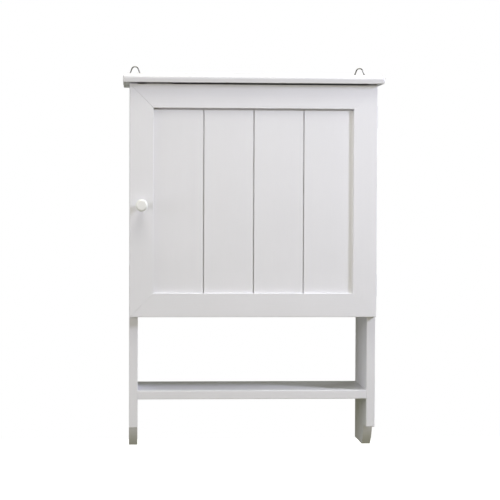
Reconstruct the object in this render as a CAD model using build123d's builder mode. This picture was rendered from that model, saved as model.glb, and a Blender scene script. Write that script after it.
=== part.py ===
"""White painted wall cabinet for pharmacy and bathroom goods.

A box with one framed and boarded door hangs between two side panels, which run on
below it as legs and carry an open shelf. It hangs on two ring hangers.

Frame: +X to the right, +Y towards the wall, +Z up, millimetres. The origin is on the
plane of the back edges, midway between the two points where the rings hang.
"""
import os
from math import cos, radians, sin, sqrt, tan

from build123d import *

# ---------------------------------------------------------------- driving dimensions
board = 15.0                 # thickness of every main board
body_width = 432.0           # over the outer faces of the side panels
side_depth = 160.0           # side panel, back edge to front edge
edge_round = 1.0             # rounding of the painted edges

# heights above the ends of the legs
step_height = 38.0           # where the front edge of a leg stops
shelf_under = 88.0           # underside of the open shelf
door_foot = 233.0
floor_under = 235.0          # underside of the box
inner_shelf_under = 440.0
door_head = 637.2
side_top = 640.0
top_surface = side_top + board

foot_set_back = 33.0         # from the leg's front edge to the foot's face
foot_run = 30.0              # how far the foot's face leans back on its way down
foot_curve = 90.0            # radius of that face
foot_corner = 3.0
foot_edge_round = 1.5        # along both edges of that face and of the leg's end

top_overhang_side = 11.5
top_overhang_front = 12.0    # beyond the front of the door
top_nose = 7.5               # radius of the moulded edge, which runs round three sides
top_undercut = 12.0          # degrees, slope of the flat below the nose
top_corner = 4.0

door_thickness = 15.0
door_gap = 1.0               # between the side panels and the back of the door
door_reveal = 0.5            # how far each side panel shows past the door's edge
inner_edge_round = 0.4       # on the frame, round the boards
frame_width = 41.0
mitre_gaps = (0.10, 0.05, 0.05, 0.16)   # hairlines: low left, low right, high right, high left
panel_recess = 5.0           # the boards' faces lie this far behind the frame's
rebate_width = 8.0           # the boards lap this far behind the frame
panel_boards = 4
panel_thickness = 8.0
board_gap = 1.9              # open joint between the faces of two boards
head_gap = 3.1               # open joint between the boards' faces and the top rail
tongue_length = 3.4
tongue_thickness = 1.8
tongue_depth = 5.0           # from a board's face to its tongue

knob_height = 427.0
knob_radius = 10.6
knob_length = 19.8

back_thickness = 3.0
back_rebate = 8.0            # how far the back panel laps over each side panel

inner_shelf_thickness = 12.0
inner_shelf_depth = 134.0

hanger_x = 206.0
ring_wire = 1.1              # radius
ring_half_base = 12.2        # of the three-cornered ring, before its corners are bent round
ring_rise = 21.0
ring_bend = 6.2              # radius at the top
ring_corner = 2.5            # radius at the base
eye_above_top = 2.5
strap_width = 12.0
strap_thickness = 1.2
strap_length = 45.0

fit_gap = 0.05               # radial room round dowels, screws and pins

# ---------------------------------------------------------------- derived dimensions
half_width = body_width / 2
side_inside = half_width - board
door_back = -side_depth - door_gap
door_front = door_back - door_thickness
top_front = door_front - top_overhang_front

eye_height = top_surface + eye_above_top
hang_height = eye_height + ring_rise - ring_wire
feet = -hang_height          # the ends of the legs, in the model's frame


def up(height):
    """A height above the ends of the legs, in the model's frame."""
    return feet + height


pieces = {}                  # node name: finished part


# ---------------------------------------------------------------- fasteners
def revolved(points):
    """A solid of revolution about Z from (radius, height) points."""
    with BuildPart() as shape:
        with BuildSketch(Plane.XZ):
            with BuildLine():
                Polyline(*points, close=True)
            make_face()
        revolve(axis=Axis.Z)
    return shape.part


def cross_recess(radius, depth):
    """The cross that a screwdriver takes, sunk into a head whose top is at zero."""
    with BuildPart() as cross:
        with Locations((0, 0, -depth / 2)):
            Box(2 * radius, 0.25 * radius, depth)
            Box(0.25 * radius, 2 * radius, depth)
    return cross.part


def countersunk_screw(head, shank, length, room=0.0):
    """Head top at zero, pointing down; room makes the hole that takes it."""
    body = revolved([
        (0, 0), (head + room, 0), (shank + room, -(head - shank)),
        (shank + room, -length + shank), (0, -length - room),
    ])
    return body if room else body - cross_recess(0.62 * head, 0.4 * head)


def pan_screw(head, head_height, shank, length, room=0.0):
    """Underside of the head at zero, head above; room makes the hole for the shank."""
    if room:
        return revolved([
            (0, 0), (shank + room, 0), (shank + room, -length + shank), (0, -length - room),
        ])
    body = revolved([
        (0, head_height), (0.6 * head, head_height), (head, 0.5 * head_height), (head, 0),
        (shank, 0), (shank, -length + shank), (0, -length),
    ])
    return body - Pos(0, 0, head_height) * cross_recess(0.5 * head, 0.5 * head_height)


def facing(direction, *places):
    """Locations at the places, with their local Z along the direction."""
    return [Plane(origin=place, z_dir=direction).location for place in places]


def group(solid, places):
    """Copies of one solid as one node of separate solids."""
    with BuildPart() as copies:
        with Locations(*places):
            add(solid)
    return copies.part


hinge_screw = (2.5, 1.25, 11.0)             # head, shank, length
hanger_screw = (3.0, 1.9, 1.5, 15.0)        # head, head height, shank, length
catch_screw = (2.6, 1.6, 1.3, 10.0)
knob_bore = 10.0                            # depth of the screw hole in the knob
knob_screw_size = (3.6, 2.2, 2.0, door_thickness + knob_bore - 0.5)
nail_size = (1.6, 0.6, 0.7, 12.0)

# ---------------------------------------------------------------- where things go
dowel_radius = 4.0
dowel_length = 29.0
dowel_in_face = 10.0                        # depth of the hole in a board's face
dowel_in_end = dowel_length - dowel_in_face + 1.0
dowel_rows = (-35.0, -125.0)
side_middle = half_width - board / 2

pin_radius = 2.5
pin_length = 16.0
pin_rows = (-30.0, -112.0)
pin_spacing = 32.0
pin_height = inner_shelf_under - pin_radius

hinge_height = 38.0
hinge_inset = 55.0                          # hinge centre from the door's end
hinge_leaf = 0.9
hinge_let_in = 0.5
hinge_centres = {"upper": up(door_head - hinge_inset), "lower": up(door_foot + hinge_inset)}
hinge_x = half_width + 0.2
hinge_y = -side_depth - door_gap / 2
knuckle_radius = 1.9
knuckle_room = 0.3
hinge_pin = 1.0
leaf_inner_x = 204.0
leaf_screw_x = 208.5
leaf_screw_rise = 12.0
middle_knuckle = 12.4

strap_screws = [up(eye_height - 26.5), up(eye_height - 38.5)]

catch_x = -165.0
catch_size = (46.0, 18.0, 13.0)
catch_front = door_back + 1.8
catch_screw_reach = 17.5
strike_thickness = 1.1
strike_z = up(side_top) - 7.5

knob_x = door_reveal - half_width + frame_width / 2
board_face = door_front + panel_recess


# ---------------------------------------------------------------- cutters
def dowel_hole(depth):
    """A round hole below zero that takes a dowel end."""
    with BuildPart() as hole:
        Cylinder(dowel_radius + fit_gap, depth, align=(Align.CENTER, Align.CENTER, Align.MAX))
    return hole.part


def hinge_relief(leaf_face, direction):
    """Room in the wood for one leaf, the barrel and the screws of each hinge."""
    with BuildPart() as relief:
        for centre in hinge_centres.values():
            with Locations((hinge_x, hinge_y, centre)):
                Cylinder(knuckle_radius + knuckle_room, hinge_height + 2)
            with Locations(((leaf_inner_x + hinge_x) / 2, leaf_face + direction * hinge_let_in / 2, centre)):
                Box(hinge_x - leaf_inner_x, hinge_let_in, hinge_height)
            with Locations(*leaf_screw_places(centre, direction)):
                add(countersunk_screw(*hinge_screw, room=fit_gap))
    return relief.part


def leaf_screw_places(centre, direction):
    """Both screws of a leaf, heads flush with the leaf's show face."""
    show_face = hinge_y + direction * (door_gap / 2 + hinge_let_in - hinge_leaf)
    spots = [(leaf_screw_x, show_face, centre + rise) for rise in (-leaf_screw_rise, leaf_screw_rise)]
    return facing((0, -direction, 0), *spots)


# ---------------------------------------------------------------- side panels
leg_front = -side_depth
foot_front = leg_front + foot_set_back
back_top = up(side_top)

with BuildPart() as side:
    with BuildSketch(Plane.YZ.offset(side_inside)) as side_outline:
        with BuildLine():
            Polyline(
                (foot_front, up(step_height)), (leg_front, up(step_height)),
                (leg_front, back_top), (0, back_top), (0, up(0)),
                (foot_front + foot_run, up(0)),
            )
            RadiusArc((foot_front + foot_run, up(0)), (foot_front, up(step_height)), foot_curve)
        make_face()
    extrude(amount=board)
    fillet(side.edges().filter_by(Axis.X).group_by(Axis.Z)[0].sort_by(Axis.Y)[0], foot_corner)
    long_edges = side.edges().filter_by(Axis.Z).group_by(Axis.Y)[0]
    fillet(long_edges, edge_round)
    foot_face = side.faces().filter_by(GeomType.CYLINDER).sort_by(SortBy.AREA)[-1]
    fillet(foot_face.edges().filter_by(GeomType.CIRCLE), foot_edge_round)
    # rebate for the back panel
    with Locations((side_inside, 0, up(floor_under))):
        Box(back_rebate, back_thickness, side_top - floor_under,
            align=(Align.MIN, Align.MAX, Align.MIN), mode=Mode.SUBTRACT)
    # dowels of the two boards between the sides
    inner_dowels = [
        (side_inside, row, up(under + board / 2))
        for under in (shelf_under, floor_under) for row in dowel_rows
    ]
    with Locations(*facing((-1, 0, 0), *inner_dowels)):
        add(dowel_hole(dowel_in_face), mode=Mode.SUBTRACT)
    with Locations(*[(side_middle, row, back_top) for row in dowel_rows]):
        add(dowel_hole(dowel_in_end), mode=Mode.SUBTRACT)
    # rows of holes for the shelf pins
    pin_spots = [
        (side_inside, row, up(pin_height + step * pin_spacing)) for row in pin_rows for step in range(-2, 3)
    ]
    with Locations(*facing((-1, 0, 0), *pin_spots)):
        Cylinder(pin_radius + fit_gap, pin_length / 2 + 0.5,
                 align=(Align.CENTER, Align.CENTER, Align.MAX), mode=Mode.SUBTRACT)
    # screws of the hanger and nails of the back panel
    with Locations(*facing((0, 1, 0), *[(hanger_x, 0, z) for z in strap_screws])):
        add(pan_screw(*hanger_screw, room=fit_gap), mode=Mode.SUBTRACT)
    side_nails = [
        (side_inside + back_rebate / 2, 0, up(floor_under + 30 + step * 85)) for step in range(5)
    ]
    with Locations(*facing((0, 1, 0), *side_nails)):
        add(pan_screw(*nail_size, room=fit_gap), mode=Mode.SUBTRACT)

with BuildPart() as left_side_panel:
    add(mirror(side.part, about=Plane.YZ, mode=Mode.PRIVATE))

with BuildPart() as right_side_panel:
    add(side.part)
    add(hinge_relief(-side_depth, 1), mode=Mode.SUBTRACT)

pieces["left_side_panel"] = left_side_panel.part
pieces["right_side_panel"] = right_side_panel.part

# ---------------------------------------------------------------- top board
top_width = body_width + 2 * top_overhang_side
top_dowels = [(x, row, back_top) for x in (-side_middle, side_middle) for row in dowel_rows]
catch_screws = [(catch_x + reach, catch_front + catch_size[1] / 2, back_top)
                for reach in (-catch_screw_reach, catch_screw_reach)]

undercut = radians(top_undercut)
flat_top = board - top_nose * (1 + sin(undercut))       # where the nose passes into the flat
under_inset = top_nose * (1 - cos(undercut)) + flat_top * tan(undercut)


def nose_section(reach):
    """Section through one moulded edge that ends at zero, solid over reach behind it."""
    with BuildSketch() as section:
        with BuildLine():
            nose = CenterArc((-top_nose, board - top_nose), top_nose, 90, -90 - top_undercut)
            Polyline(nose @ 1, (-under_inset, 0), (-reach, 0), (-reach, board), nose @ 0)
        make_face()
    return section.sketch


with BuildPart() as top_board:
    with BuildSketch(Plane.XY.offset(back_top)):
        Rectangle(top_width, -top_front, align=(Align.CENTER, Align.MAX))
    extrude(amount=board)
    fillet(top_board.edges().filter_by(Axis.Z).group_by(Axis.Y)[0], top_corner)
    with BuildSketch(Plane(origin=(0, top_front, back_top), x_dir=(0, -1, 0), z_dir=(-1, 0, 0))):
        add(nose_section(-top_front))
    extrude(amount=top_width / 2, both=True, mode=Mode.INTERSECT)
    with BuildSketch(Plane(origin=(0, 0, back_top), x_dir=(1, 0, 0), z_dir=(0, -1, 0))):
        with Locations((top_width / 2, 0)):
            add(nose_section(top_width / 2))
        mirror(about=Plane.YZ)
    extrude(amount=-top_front, mode=Mode.INTERSECT)
    with Locations(*facing((0, 0, -1), *top_dowels)):
        add(dowel_hole(dowel_in_face), mode=Mode.SUBTRACT)
    with Locations(*facing((0, 0, -1), *catch_screws)):
        with Locations((0, 0, catch_size[2] - 11.0)):
            add(pan_screw(*catch_screw, room=fit_gap), mode=Mode.SUBTRACT)

pieces["top_board"] = top_board.part


# ---------------------------------------------------------------- boards between the sides
def cross_board(under, back):
    """A board between the side panels, with dowel holes in both ends."""
    with BuildPart() as between:
        with Locations((0, back, up(under))):
            Box(2 * side_inside, side_depth + back, board, align=(Align.CENTER, Align.MAX, Align.MIN))
        fillet(between.edges().filter_by(Axis.X).group_by(Axis.Y)[0], edge_round)
        for end in (-1, 1):
            spots = [(end * side_inside, row, up(under + board / 2)) for row in dowel_rows]
            with Locations(*facing((end, 0, 0), *spots)):
                add(dowel_hole(dowel_in_end), mode=Mode.SUBTRACT)
    return between.part


floor_nails = [(x, 0, up(floor_under + board / 2)) for x in (-150, -50, 50, 150)]
with BuildPart() as bottom_panel:
    add(cross_board(floor_under, -back_thickness))
    with Locations(*facing((0, 1, 0), *floor_nails)):
        add(pan_screw(*nail_size, room=fit_gap), mode=Mode.SUBTRACT)
pieces["bottom_panel"] = bottom_panel.part
pieces["lower_shelf"] = cross_board(shelf_under, 0)

with BuildPart() as inner_shelf:
    with Locations((0, -back_thickness - 1, up(inner_shelf_under))):
        Box(2 * side_inside - 1.6, inner_shelf_depth, inner_shelf_thickness,
            align=(Align.CENTER, Align.MAX, Align.MIN))
    fillet(inner_shelf.edges().filter_by(Axis.X).group_by(Axis.Y)[0], edge_round)
pieces["inner_shelf"] = inner_shelf.part

# ---------------------------------------------------------------- back panel and its nails
all_nails = side_nails + [(-x, y, z) for x, y, z in side_nails] + floor_nails
with BuildPart() as back_panel:
    with Locations((0, 0, up(floor_under))):
        Box(2 * (side_inside + back_rebate - 0.3), back_thickness, side_top - floor_under,
            align=(Align.CENTER, Align.MAX, Align.MIN))
    with Locations(*facing((0, 1, 0), *all_nails)):
        add(pan_screw(*nail_size, room=fit_gap), mode=Mode.SUBTRACT)
    strap_holes = [(x, 0, z) for x in (-hanger_x, hanger_x) for z in strap_screws]
    with Locations(*facing((0, 1, 0), *strap_holes)):
        add(pan_screw(*hanger_screw, room=fit_gap), mode=Mode.SUBTRACT)
pieces["back_panel"] = back_panel.part
pieces["back_panel_nails"] = group(pan_screw(*nail_size), facing((0, 1, 0), *all_nails))

# ---------------------------------------------------------------- dowels and shelf pins
with BuildPart() as dowel:
    Cylinder(dowel_radius, dowel_length)
    chamfer(dowel.edges().filter_by(GeomType.CIRCLE), 0.8)

dowel_shift = dowel_length / 2 - dowel_in_face + 0.5
pieces["top_board_dowels"] = group(
    dowel.part, [Location((x, y, z - dowel_shift)) for x, y, z in top_dowels])
for name, under in (("bottom_panel_dowels", floor_under), ("lower_shelf_dowels", shelf_under)):
    spots = [(end * (side_inside - dowel_shift), row, up(under + board / 2))
             for end in (-1, 1) for row in dowel_rows]
    pieces[name] = group(dowel.part, facing((1, 0, 0), *spots))

with BuildPart() as shelf_pin:
    Cylinder(pin_radius, pin_length)
    chamfer(shelf_pin.edges().filter_by(GeomType.CIRCLE), 0.4)
pin_places = [(end * side_inside, row, up(pin_height)) for end in (-1, 1) for row in pin_rows]
pieces["shelf_pins"] = group(shelf_pin.part, facing((1, 0, 0), *pin_places))

# ---------------------------------------------------------------- door frame
door_low, door_high = up(door_foot), up(door_head)
door_half = half_width - door_reveal


def frame_corners(inset):
    """Corners of the door's outline in front view, moved in from its edges."""
    x, low, high = door_half - inset, door_low + inset, door_high - inset
    return [(-x, low), (x, low), (x, high), (-x, high)]


def member_outline(number, width):
    """Mitred outline of one frame member: its outer edge and its inner edge."""
    outer, inner = frame_corners(0), frame_corners(width)
    after = (number + 1) % 4
    along_x, along_z = [(1, 0), (0, 1), (-1, 0), (0, -1)][number]
    start, end = mitre_gaps[number], -mitre_gaps[after]
    ends = [(outer[number], start), (outer[after], end), (inner[after], end), (inner[number], start)]
    return [(x + shift * along_x, z + shift * along_z) for (x, z), shift in ends]


def mitre_dowel_places():
    """Centre and direction of the dowel across each mitred corner."""
    places = []
    depth = door_front + 5.5
    for x, z in frame_corners(frame_width / 2):
        side_sign = 1 if x > 0 else -1
        height_sign = 1 if z > (door_low + door_high) / 2 else -1
        places += facing((side_sign, 0, -height_sign), (x, depth, z))
    return places


mitre_dowel_radius = 2.5
mitre_dowel_length = 26.0


def frame_member(number):
    """A frame member: full width in front, cut back for the panel behind."""
    with BuildPart() as member:
        for width, start, amount in (
            (frame_width, door_front, panel_recess),
            (frame_width - rebate_width, board_face, door_thickness - panel_recess),
        ):
            with BuildSketch(Plane.XZ.offset(-start)):
                with BuildLine():
                    Polyline(*member_outline(number, width), close=True)
                make_face()
            extrude(amount=-amount)
        along = Axis.X if number in (0, 2) else Axis.Z
        across = Axis.Z if number in (0, 2) else Axis.X
        front_edges = member.edges().filter_by(along).group_by(Axis.Y)[0].sort_by(across)
        outer_edge, inner_edge = front_edges if number in (0, 3) else reversed(front_edges)
        fillet(outer_edge, edge_round)
        fillet(inner_edge, inner_edge_round)
        with Locations(*mitre_dowel_places()):
            Cylinder(mitre_dowel_radius + fit_gap, mitre_dowel_length + 1, mode=Mode.SUBTRACT)
    return member.part


frame_names = ["door_bottom_rail", "door_right_stile", "door_top_rail", "door_left_stile"]
for number, name in enumerate(frame_names):
    pieces[name] = frame_member(number)

knob_screw_hole = facing((0, 1, 0), (knob_x, door_back, up(knob_height)))
pieces["door_left_stile"] -= knob_screw_hole[0] * pan_screw(*knob_screw_size, room=fit_gap)
pieces["door_right_stile"] -= hinge_relief(door_back, -1)

with BuildPart() as mitre_dowel:
    Cylinder(mitre_dowel_radius, mitre_dowel_length)
pieces["door_corner_dowels"] = group(mitre_dowel.part, mitre_dowel_places())

# ---------------------------------------------------------------- door panel boards
board_pitch = 2 * (door_half - frame_width) / panel_boards
panel_half = door_half - frame_width + rebate_width - 0.5
panel_low = door_low + frame_width - rebate_width + 0.5
panel_height = door_high - door_low - 2 * (frame_width - rebate_width + 0.5)
tongue_back = board_face + tongue_depth
tongue_room = 0.15


def panel_board(number):
    """One board: a tongue on its left edge and a groove in its right edge."""
    left = -panel_half if number == 0 else (number - panel_boards / 2) * board_pitch + board_gap / 2
    last = number == panel_boards - 1
    right = panel_half if last else (number + 1 - panel_boards / 2) * board_pitch - board_gap / 2
    with BuildPart() as strip:
        with BuildSketch(Plane.XY.offset(panel_low)):
            with Locations(((left + right) / 2, board_face + panel_thickness / 2)):
                Rectangle(right - left, panel_thickness)
            if number > 0:
                with Locations((left, tongue_back)):
                    Rectangle(tongue_length, tongue_thickness, align=(Align.MAX, Align.MIN))
            if not last:
                with Locations((right, tongue_back - tongue_room)):
                    Rectangle(tongue_length - board_gap + 0.4, tongue_thickness + 2 * tongue_room,
                              align=(Align.MAX, Align.MIN), mode=Mode.SUBTRACT)
        extrude(amount=panel_height)
        face_edges = strip.edges().filter_by(Axis.Z).group_by(Axis.Y)[0]
        chamfer(face_edges, 0.3)
        # the face stops short of the top rail, as it does of the next board
        with Locations(((left + right) / 2, board_face, door_high - frame_width - head_gap)):
            Box(right - left, tongue_depth, frame_width,
                align=(Align.CENTER, Align.MIN, Align.MIN), mode=Mode.SUBTRACT)
    return strip.part


for number in range(panel_boards):
    pieces[f"door_board_{number + 1}"] = panel_board(number)

# ---------------------------------------------------------------- knob
with BuildPart() as door_knob:
    with BuildSketch(Plane.XZ):
        with BuildLine():
            foot = Polyline((0, 0), (6.5, 0), (6.5, 1.5))
            neck = Spline(foot @ 1, (4.8, 5.0), (6.4, 9.0), tangents=[(-0.6, 1), (1, 0.9)])
            under = Line(neck @ 1, (knob_radius - 2.2, 10.8))
            head = Spline(under @ 1, (knob_radius, 13.4), (9.5, 16.4), (6.6, 18.7), (0, knob_length),
                          tangents=[(1, 0.5), (-1, 0)])
            Line(head @ 1, (0, 0))
        make_face()
    revolve(axis=Axis.Z)
    Cylinder(knob_screw_size[2] + fit_gap, knob_bore,
             align=(Align.CENTER, Align.CENTER, Align.MIN), mode=Mode.SUBTRACT)
knob_place = facing((0, -1, 0), (knob_x, door_front, up(knob_height)))[0]
pieces["door_knob"] = knob_place * door_knob.part
pieces["knob_screw"] = group(pan_screw(*knob_screw_size), knob_screw_hole)


# ---------------------------------------------------------------- hinges
def leaf(centre, direction, spans):
    """One hinge leaf with its knuckles; direction points from the gap into its wood."""
    show_face = hinge_y + direction * (door_gap / 2 + hinge_let_in - hinge_leaf)
    middle = show_face + direction * hinge_leaf / 2
    plate_edge = hinge_x - knuckle_radius - 0.4
    with BuildPart() as half:
        with Locations((leaf_inner_x, middle, centre)):
            Box(plate_edge - leaf_inner_x, hinge_leaf, hinge_height,
                align=(Align.MIN, Align.CENTER, Align.CENTER))
        for low, high in spans:
            with Locations((hinge_x, hinge_y, centre + low)):
                Cylinder(knuckle_radius, high - low, align=(Align.CENTER, Align.CENTER, Align.MIN))
            with Locations((plate_edge, middle, centre + low)):
                Box(hinge_x - plate_edge, hinge_leaf, high - low,
                    align=(Align.MIN, Align.CENTER, Align.MIN))
        with Locations((hinge_x, hinge_y, centre)):
            Cylinder(hinge_pin + fit_gap, hinge_height + 2, mode=Mode.SUBTRACT)
        with Locations(*leaf_screw_places(centre, direction)):
            add(countersunk_screw(*hinge_screw, room=fit_gap), mode=Mode.SUBTRACT)
    return half.part


half_hinge = hinge_height / 2
outer_spans = [(-half_hinge, -middle_knuckle / 2 - 0.2), (middle_knuckle / 2 + 0.2, half_hinge)]
inner_span = [(-middle_knuckle / 2, middle_knuckle / 2)]

for name, centre in hinge_centres.items():
    pieces[f"{name}_hinge_cabinet_leaf"] = leaf(centre, 1, outer_spans)
    pieces[f"{name}_hinge_door_leaf"] = leaf(centre, -1, inner_span)
    with BuildPart() as hinge_rod:
        with Locations((hinge_x, hinge_y, centre)):
            Cylinder(hinge_pin, hinge_height)
        rod_ends = [(hinge_x, hinge_y, centre + end * (half_hinge + 0.4)) for end in (-1, 1)]
        with Locations(*rod_ends):
            Cylinder(hinge_pin + 0.5, 0.8)
    pieces[f"{name}_hinge_pin"] = hinge_rod.part

for name, direction in (("hinge_cabinet_screws", 1), ("hinge_door_screws", -1)):
    places = [place for centre in hinge_centres.values()
              for place in leaf_screw_places(centre, direction)]
    pieces[name] = group(countersunk_screw(*hinge_screw), places)

# ---------------------------------------------------------------- magnetic catch
catch_length, catch_depth, catch_height = catch_size
magnet_half = 9.5
magnet_height = 8.0
pole_thickness = 1.0
pocket_height = magnet_height + 2 * pole_thickness + 0.4
pocket_depth = 14.0
ear_height = catch_height - 11.0            # the housing's thin ears, under the screw heads

with BuildPart() as catch_housing:
    with Locations((catch_x, catch_front, back_top)):
        Box(catch_length, catch_depth, ear_height, align=(Align.CENTER, Align.MIN, Align.MAX))
        Box(2 * magnet_half + 5, catch_depth, catch_height, align=(Align.CENTER, Align.MIN, Align.MAX))
    with Locations((catch_x, catch_front, strike_z + 1.0)):
        Box(2 * magnet_half + 0.6, pocket_depth, pocket_height,
            align=(Align.CENTER, Align.MIN, Align.CENTER), mode=Mode.SUBTRACT)
    with Locations(*facing((0, 0, -1), *catch_screws)):
        with Locations((0, 0, ear_height)):
            add(pan_screw(*catch_screw, room=fit_gap), mode=Mode.SUBTRACT)

with BuildPart() as catch_magnet:
    with Locations((catch_x, catch_front + 0.4, strike_z + 1.0)):
        Box(2 * magnet_half, pocket_depth - 1, magnet_height, align=(Align.CENTER, Align.MIN, Align.CENTER))

with BuildPart() as catch_pole_plates:
    pole_shift = (magnet_height + pole_thickness) / 2 + 0.05
    with Locations(*[(catch_x, catch_front - 0.4, strike_z + 1.0 + side * pole_shift) for side in (-1, 1)]):
        Box(2 * magnet_half, pocket_depth - 1, pole_thickness, align=(Align.CENTER, Align.MIN, Align.CENTER))

strike_screw_place = facing((0, 1, 0), (catch_x, door_back + strike_thickness, strike_z))
with BuildPart() as strike_plate:
    with Locations((catch_x, door_back + strike_thickness / 2, strike_z)):
        Box(34, strike_thickness, 10)
    fillet(strike_plate.edges().filter_by(Axis.Y), 2.0)
    with Locations(*strike_screw_place):
        add(countersunk_screw(*hinge_screw, room=fit_gap), mode=Mode.SUBTRACT)

pieces["catch_housing"] = catch_housing.part
pieces["catch_magnet"] = catch_magnet.part
pieces["catch_pole_plates"] = catch_pole_plates.part
pieces["catch_screws"] = group(
    pan_screw(*catch_screw),
    [place * Pos(0, 0, ear_height) for place in facing((0, 0, -1), *catch_screws)])
pieces["strike_plate"] = strike_plate.part
pieces["strike_screw"] = group(countersunk_screw(*hinge_screw), strike_screw_place)
pieces["door_top_rail"] -= strike_screw_place[0] * countersunk_screw(*hinge_screw, room=fit_gap)

# ---------------------------------------------------------------- door buffers
with BuildPart() as door_buffers:
    with Locations(*facing((0, -1, 0), *[
        (-side_middle, -side_depth, z) for z in (door_low + 25, door_high - 25)
    ])):
        Cylinder(4.0, door_gap - 0.1, align=(Align.CENTER, Align.CENTER, Align.MIN))
pieces["door_buffers"] = door_buffers.part

# ---------------------------------------------------------------- ring hangers
eye_y = 2 * strap_thickness                 # the eye is rolled behind the strap
eye_z = up(eye_height)
eye_bore = ring_wire + 0.08


def hanger_strap(x):
    """A steel strap with a rolled eye above and a round end below."""
    with BuildPart() as strap:
        with BuildSketch(Plane.XZ):
            with Locations((x, eye_z)):
                Rectangle(strap_width, strap_length - strap_width / 2, align=(Align.CENTER, Align.MAX))
            with Locations((x, eye_z - strap_length + strap_width / 2)):
                Circle(strap_width / 2)
        extrude(amount=-strap_thickness)
        with Locations(*facing((1, 0, 0), (x, eye_y, eye_z))):
            Cylinder(2 * strap_thickness, strap_width)
            Cylinder(eye_bore, strap_width, mode=Mode.SUBTRACT)
        with Locations(*facing((0, 1, 0), *[(x, strap_thickness, z) for z in strap_screws])):
            add(pan_screw(*hanger_screw, room=fit_gap), mode=Mode.SUBTRACT)
    return strap.part


def ring(x):
    """A bent wire ring, its ends meeting inside the eye of the strap."""
    half = ring_half_base
    # the peak of the triangle whose rounded top reaches ring_rise
    bend_share = ring_bend / half
    bend_centre = ring_rise - ring_bend
    across = 1 - bend_share**2
    peak = (bend_centre + sqrt(bend_centre**2 - across * (bend_centre**2 - ring_bend**2))) / across
    wire_gap = 0.2
    with BuildPart() as wire_ring:
        with BuildLine(Plane.XZ.offset(-eye_y)) as route:
            Polyline(
                (x + wire_gap, eye_z), (x + half, eye_z), (x, eye_z + peak), (x - half, eye_z),
                (x - wire_gap, eye_z))
            base_corners = route.vertices().filter_by(lambda corner: abs(corner.X - x) > half - 0.01)
            fillet(base_corners, ring_corner)
            fillet(route.vertices().group_by(Axis.Z)[-1], ring_bend)
        with BuildSketch(Plane(origin=(x + wire_gap, eye_y, eye_z), z_dir=(1, 0, 0))):
            Circle(ring_wire)
        sweep(path=route.line)
    return wire_ring.part


for name, x in (("left", -hanger_x), ("right", hanger_x)):
    pieces[f"{name}_hanger_strap"] = hanger_strap(x)
    pieces[f"{name}_hanger_ring"] = ring(x)
pieces["hanger_screws"] = group(pan_screw(*hanger_screw), facing(
    (0, 1, 0), *[(x, strap_thickness, z) for x in (-hanger_x, hanger_x) for z in strap_screws]))

# ---------------------------------------------------------------- write the pieces
os.makedirs("parts", exist_ok=True)
for name, piece in pieces.items():
    piece.label = name
    export_step(piece, f"parts/{name}.step")

print(len(pieces), "nodes; feet at", round(feet, 2), "top surface at", round(up(top_surface), 2))
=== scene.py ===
"""Looks of the white painted wall cabinet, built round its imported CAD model.

Metres, +Z up, the front facing -Y, with the origin between the hanging points.
"""
from math import cos, radians, sin

import bpy
from mathutils import Matrix, Vector


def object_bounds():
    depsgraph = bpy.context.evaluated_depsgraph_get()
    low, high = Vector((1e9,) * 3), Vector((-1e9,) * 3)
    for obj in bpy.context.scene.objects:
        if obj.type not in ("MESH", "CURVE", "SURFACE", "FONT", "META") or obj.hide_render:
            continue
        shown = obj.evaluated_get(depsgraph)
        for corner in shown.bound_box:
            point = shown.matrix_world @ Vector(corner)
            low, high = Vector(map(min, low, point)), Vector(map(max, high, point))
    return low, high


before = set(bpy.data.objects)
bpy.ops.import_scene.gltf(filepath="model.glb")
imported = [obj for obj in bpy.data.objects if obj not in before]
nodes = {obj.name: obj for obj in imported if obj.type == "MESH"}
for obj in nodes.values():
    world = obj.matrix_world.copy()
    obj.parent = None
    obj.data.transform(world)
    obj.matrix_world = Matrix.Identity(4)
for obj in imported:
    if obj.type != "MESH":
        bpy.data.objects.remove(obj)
cad_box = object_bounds()
scene = bpy.context.scene
MM = 0.001
MIX_FIRST, MIX_SECOND, MIX_RESULT = 6, 7, 2      # colour sockets of the Mix node


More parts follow.
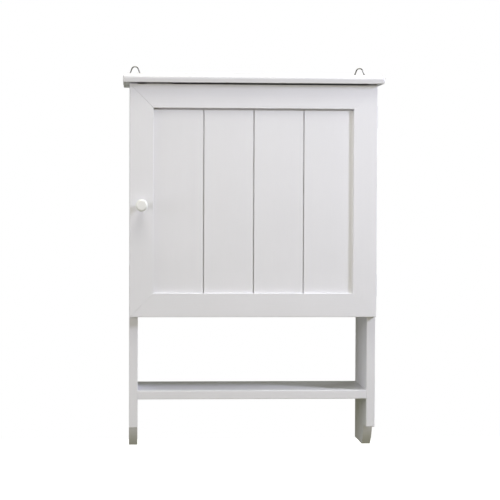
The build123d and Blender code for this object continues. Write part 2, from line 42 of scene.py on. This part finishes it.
# ---------------------------------------------------------------- node helpers
class Material:
    """A procedural material and short ways to add nodes to it."""

    def __init__(self, name):
        self.data = bpy.data.materials.new(name)
        self.data.use_nodes = True
        self.tree = self.data.node_tree
        self.shader = self.tree.nodes["Principled BSDF"]

    def node(self, kind, **settings):
        made = self.tree.nodes.new(kind)
        for key, value in settings.items():
            if key in made.inputs:
                made.inputs[key].default_value = value
            else:
                setattr(made, key, value)
        return made

    def link(self, source, target):
        self.tree.links.new(source, target)

    def coordinates(self, stretch=(1, 1, 1), turn=(0, 0, 0)):
        """Object coordinates in metres, scaled so that a pattern runs along one axis."""
        texture = self.node("ShaderNodeTexCoord")
        mapping = self.node("ShaderNodeMapping")
        mapping.inputs["Scale"].default_value = stretch
        mapping.inputs["Rotation"].default_value = turn
        self.link(texture.outputs["Object"], mapping.inputs["Vector"])
        return mapping.outputs["Vector"]

    def noise(self, vector, scale, detail=3.0, roughness=0.5):
        made = self.node("ShaderNodeTexNoise", Scale=scale, Detail=detail, Roughness=roughness)
        self.link(vector, made.inputs["Vector"])
        return made.outputs["Fac"]

    def spread(self, value, low, high, start=0.3, end=0.7):
        """Map a 0 to 1 value from start..end to low..high."""
        made = self.node("ShaderNodeMapRange", **{
            "From Min": start, "From Max": end, "To Min": low, "To Max": high})
        self.link(value, made.inputs["Value"])
        return made.outputs["Result"]

    def mix(self, factor, first, second):
        """Blend two colours, each a constant or another node's output."""
        made = self.node("ShaderNodeMix", data_type="RGBA")
        self.link(factor, made.inputs["Factor"])
        for number, colour in ((MIX_FIRST, first), (MIX_SECOND, second)):
            if isinstance(colour, (tuple, list)):
                made.inputs[number].default_value = (*colour, 1.0)
            else:
                self.link(colour, made.inputs[number])
        return made.outputs[MIX_RESULT]

    def bump(self, height, strength, distance, under=None):
        """A bump from a height, on top of the normal of the bump under it."""
        made = self.node("ShaderNodeBump", Strength=strength, Distance=distance)
        self.link(height, made.inputs["Height"])
        if under is not None:
            self.link(under, made.inputs["Normal"])
        return made.outputs["Normal"]

    def finish(self, colour=None, roughness=None, normal=None, **constants):
        """Feed the shader and give back the material."""
        for key, value in constants.items():
            self.shader.inputs[key].default_value = value
        for key, source in (("Base Color", colour), ("Roughness", roughness), ("Normal", normal)):
            if source is not None:
                self.link(source, self.shader.inputs[key])
        return self.data


# ---------------------------------------------------------------- materials
PAINT_LIGHT = (0.826, 0.822, 0.856)
PAINT_DARK = (0.801, 0.798, 0.829)
GRAIN_STRETCH = 0.035        # how little the paint's pattern changes along the grain
BRUSH_ACROSS = 0.6


def painted_wood(name, grain_axis, light=PAINT_LIGHT, dark=PAINT_DARK):
    """Satin paint over a planed board: brush marks and faint grain run along one axis."""
    paint = Material(name)
    along, brushed = [1.0, 1.0, 1.0], [BRUSH_ACROSS] * 3
    along[grain_axis] = brushed[grain_axis] = GRAIN_STRETCH
    grain = paint.noise(paint.coordinates(along), 620.0, 3.0, 0.55)
    fibre = paint.noise(paint.coordinates(along), 1900.0, 2.0, 0.5)
    brush = paint.noise(paint.coordinates(brushed), 240.0, 2.0)
    cloud = paint.noise(paint.coordinates(), 7.0, 3.0)
    orange_peel = paint.noise(paint.coordinates(), 900.0, 1.0)
    tone = paint.mix(paint.spread(cloud, 0.0, 1.0), dark, light)
    streak = paint.node("ShaderNodeMix", data_type="RGBA", blend_type="MULTIPLY")
    streak.inputs["Factor"].default_value = 1.0
    streaks = paint.mix(paint.spread(grain, 0.0, 1.0), (0.985, 0.985, 0.985), (1, 1, 1))
    paint.link(tone, streak.inputs[MIX_FIRST])
    paint.link(streaks, streak.inputs[MIX_SECOND])
    rough = paint.spread(brush, 0.40, 0.50)
    normal = paint.bump(orange_peel, 0.10, 0.10 * MM)
    normal = paint.bump(grain, 0.22, 0.12 * MM, normal)
    normal = paint.bump(fibre, 0.10, 0.05 * MM, normal)
    return paint.finish(
        streak.outputs[MIX_RESULT], rough, normal, **{"IOR": 1.46, "Specular IOR Level": 0.35})


def bare_wood(name, grain_axis):
    """Unpainted beech for dowels."""
    wood = Material(name)
    along = [1.0, 1.0, 1.0]
    along[grain_axis] = 0.05
    grain = wood.noise(wood.coordinates(along), 900.0, 4.0, 0.6)
    colour = wood.mix(wood.spread(grain, 0.0, 1.0), (0.42, 0.27, 0.14), (0.62, 0.44, 0.26))
    return wood.finish(colour, wood.spread(grain, 0.55, 0.7), wood.bump(grain, 0.3, 0.1 * MM))


def plated_steel(name, colour, roughness, spots=0.0):
    """Plated sheet or wire with fine handling marks and darker patches."""
    steel = Material(name)
    cloud = steel.noise(steel.coordinates(), 320.0, 4.0, 0.65)
    marks = steel.noise(steel.coordinates((1, 1, 0.08)), 3200.0, 2.0)
    darker = tuple(value * (1 - spots) for value in colour)
    tone = steel.mix(steel.spread(cloud, 0.0, 1.0, 0.4, 0.65), darker, colour)
    return steel.finish(
        tone, steel.spread(marks, roughness - 0.06, roughness + 0.10),
        steel.bump(marks, 0.15, 0.03 * MM), Metallic=1.0)


def moulded(name, colour, roughness):
    """Moulded plastic or coated metal with a fine texture."""
    plastic = Material(name)
    fine = plastic.noise(plastic.coordinates(), 2600.0, 2.0)
    cloud = plastic.noise(plastic.coordinates(), 60.0, 2.0)
    darker = tuple(value * 0.95 for value in colour)
    return plastic.finish(
        plastic.mix(cloud, darker, colour), plastic.spread(fine, roughness, roughness + 0.1),
        plastic.bump(fine, 0.12, 0.03 * MM))


def ferrite(name):
    """Dull black sintered magnet."""
    magnet = Material(name)
    speck = magnet.noise(magnet.coordinates(), 2400.0, 4.0, 0.7)
    return magnet.finish(
        magnet.mix(speck, (0.022, 0.022, 0.024), (0.06, 0.06, 0.062)),
        magnet.spread(speck, 0.55, 0.75), magnet.bump(speck, 0.3, 0.05 * MM))


def felt(name):
    """Off-white felt."""
    pad = Material(name)
    fibre = pad.noise(pad.coordinates((1, 1, 0.3)), 4200.0, 4.0, 0.75)
    return pad.finish(
        pad.mix(fibre, (0.55, 0.53, 0.48), (0.78, 0.76, 0.72)), pad.spread(fibre, 0.85, 1.0),
        pad.bump(fibre, 0.8, 0.3 * MM), **{"Sheen Weight": 0.4})


X, Y, Z = 0, 1, 2
paint_along = {axis: painted_wood("paint_along_" + "xyz"[axis], axis) for axis in (X, Z)}
knob_paint = painted_wood("knob_paint", Y, (0.91, 0.91, 0.90), (0.89, 0.89, 0.88))
back_paint = painted_wood("back_paint", Z, (0.72, 0.72, 0.73), (0.70, 0.70, 0.71))
beech_along = {axis: bare_wood("beech_along_" + "xyz"[axis], axis) for axis in (X, Z)}
zinc = plated_steel("zinc_plate", (0.62, 0.63, 0.64), 0.32, 0.15)
nickel = plated_steel("dull_nickel", (0.27, 0.265, 0.25), 0.34, 0.3)
white_plastic = moulded("white_plastic", (0.78, 0.78, 0.77), 0.42)
white_coat = moulded("white_coat", (0.80, 0.80, 0.82), 0.34)
black_ferrite = ferrite("ferrite")
white_felt = felt("felt")

wears = {
    "top_board": paint_along[X], "bottom_panel": paint_along[X],
    "lower_shelf": paint_along[X], "inner_shelf": paint_along[X],
    "door_top_rail": paint_along[X], "door_bottom_rail": paint_along[X],
    "door_knob": knob_paint, "back_panel": back_paint, "top_board_dowels": beech_along[Z],
    "bottom_panel_dowels": beech_along[X], "lower_shelf_dowels": beech_along[X],
    "door_corner_dowels": beech_along[X], "catch_housing": white_plastic,
    "catch_magnet": black_ferrite, "door_buffers": white_felt,
}
for name, thing in nodes.items():
    if name in wears:
        material = wears[name]
    elif name.endswith(("panel", "stile")) or name.startswith("door_board"):
        material = paint_along[Z]
    elif name.endswith(("ring", "strap")) or name == "hanger_screws":
        material = nickel
    elif "_hinge_" in name:
        material = white_coat
    else:
        material = zinc
    for number in range(max(1, len(thing.material_slots))):
        if thing.material_slots:
            thing.material_slots[number].material = material
        else:
            thing.data.materials.append(material)

# ---------------------------------------------------------------- stage
corner_low, corner_high = Vector(cad_box[0]), Vector(cad_box[1])
middle = (corner_low + corner_high) / 2

floor_mesh = bpy.data.meshes.new("floor")
floor_half, floor_drop = 2.2, 0.30       # the cabinet hangs, so the floor lies clear below it
floor_level = corner_low.z - floor_drop
floor_corners = ((-1, -1), (1, -1), (1, 1), (-1, 1))
floor_mesh.from_pydata(
    [(x * floor_half, y * floor_half, floor_level) for x, y in floor_corners], [], [(0, 1, 2, 3)])
floor = bpy.data.objects.new("floor", floor_mesh)
scene.collection.objects.link(floor)
floor_paint = Material("floor_white")
floor_grain = floor_paint.noise(floor_paint.coordinates(), 3.0)
floor_mesh.materials.append(floor_paint.finish(
    floor_paint.mix(floor_grain, (0.93, 0.93, 0.93), (0.95, 0.95, 0.95)), Roughness=0.9,
    **{"Emission Color": (1, 1, 1, 1), "Emission Strength": 0.95, "Specular IOR Level": 0.1}))
floor.visible_diffuse = False
floor.visible_glossy = False

# the camera sees a white surround; the object is lit by a much weaker fill
world = bpy.data.worlds.new("studio")
scene.world = world
world.use_nodes = True
sky = world.node_tree
sky.nodes.clear()
seen = sky.nodes.new("ShaderNodeBackground")
seen.inputs["Color"].default_value = (1, 1, 1, 1)
seen.inputs["Strength"].default_value = 1.0
fill = sky.nodes.new("ShaderNodeBackground")
fill.inputs["Color"].default_value = (0.98, 1.0, 0.62, 1)
fill.inputs["Strength"].default_value = 0.15
ray = sky.nodes.new("ShaderNodeLightPath")
either = sky.nodes.new("ShaderNodeMixShader")
world_out = sky.nodes.new("ShaderNodeOutputWorld")
sky.links.new(ray.outputs["Is Camera Ray"], either.inputs["Fac"])
sky.links.new(fill.outputs[0], either.inputs[1])
sky.links.new(seen.outputs[0], either.inputs[2])
sky.links.new(either.outputs[0], world_out.inputs["Surface"])


def soft_light(name, azimuth, elevation, distance, size, power, colour=(1, 1, 1)):
    """A square area light aimed at the cabinet; azimuth 0 is straight in front, 90 to its right."""
    data = bpy.data.lights.new(name, "AREA")
    data.shape = "SQUARE"
    data.size = size
    data.energy = power
    data.color = colour
    light = bpy.data.objects.new(name, data)
    turn, rise = radians(azimuth), radians(elevation)
    way = Vector((sin(turn) * cos(rise), -cos(turn) * cos(rise), sin(rise)))
    light.location = middle + way * distance
    light.rotation_euler = (-way).to_track_quat("-Z", "Y").to_euler()
    scene.collection.objects.link(light)


soft_light("side_key", 60, 26, 1.9, 0.3, 25.0, (0.81, 0.83, 1.0))
soft_light("left_side", -75, 5, 2.6, 1.0, 18.6, (0.94, 0.96, 1.0))
soft_light("left_front", -40, 5, 2.6, 1.0, 11.4, (0.93, 0.86, 1.0))
soft_light("front_low", 20, 5, 2.6, 1.0, 4.6, (1.0, 0.91, 0.70))
soft_light("front_high", 0, 65, 1.8, 0.8, 5.6)
soft_light("overhead", 0, 78, 1.6, 0.8, 13.2, (1.0, 0.99, 0.86))
soft_light("floor_bounce", 0, -14, 2.2, 0.3, 3.6, (1.0, 0.95, 0.78))
soft_light("back_right", 132, 34, 2.6, 1.0, 11.0, (0.84, 0.87, 1.0))

scene.view_settings.view_transform = "Standard"

# ---------------------------------------------------------------- camera
camera_data = bpy.data.cameras.new("camera")
camera_data.sensor_width = 36.0
camera_data.lens = 132.7
camera = bpy.data.objects.new("camera", camera_data)
camera_place = Vector((-0.2184, -3.3749, -0.2261))
yaw, pitch, roll = radians(3.792), radians(-1.809), radians(0.227)
forward = Vector((sin(yaw) * cos(pitch), cos(yaw) * cos(pitch), sin(pitch)))
level_right = Vector((cos(yaw), -sin(yaw), 0))
level_up = level_right.cross(forward)
right = level_right * cos(roll) + level_up * sin(roll)
upward = level_up * cos(roll) - level_right * sin(roll)
turned = Matrix((right, upward, -forward)).transposed().to_4x4()
camera.matrix_world = Matrix.Translation(camera_place) @ turned
scene.collection.objects.link(camera)
scene.camera = camera

# ---------------------------------------------------------------- update the view layer
bpy.context.view_layer.update()
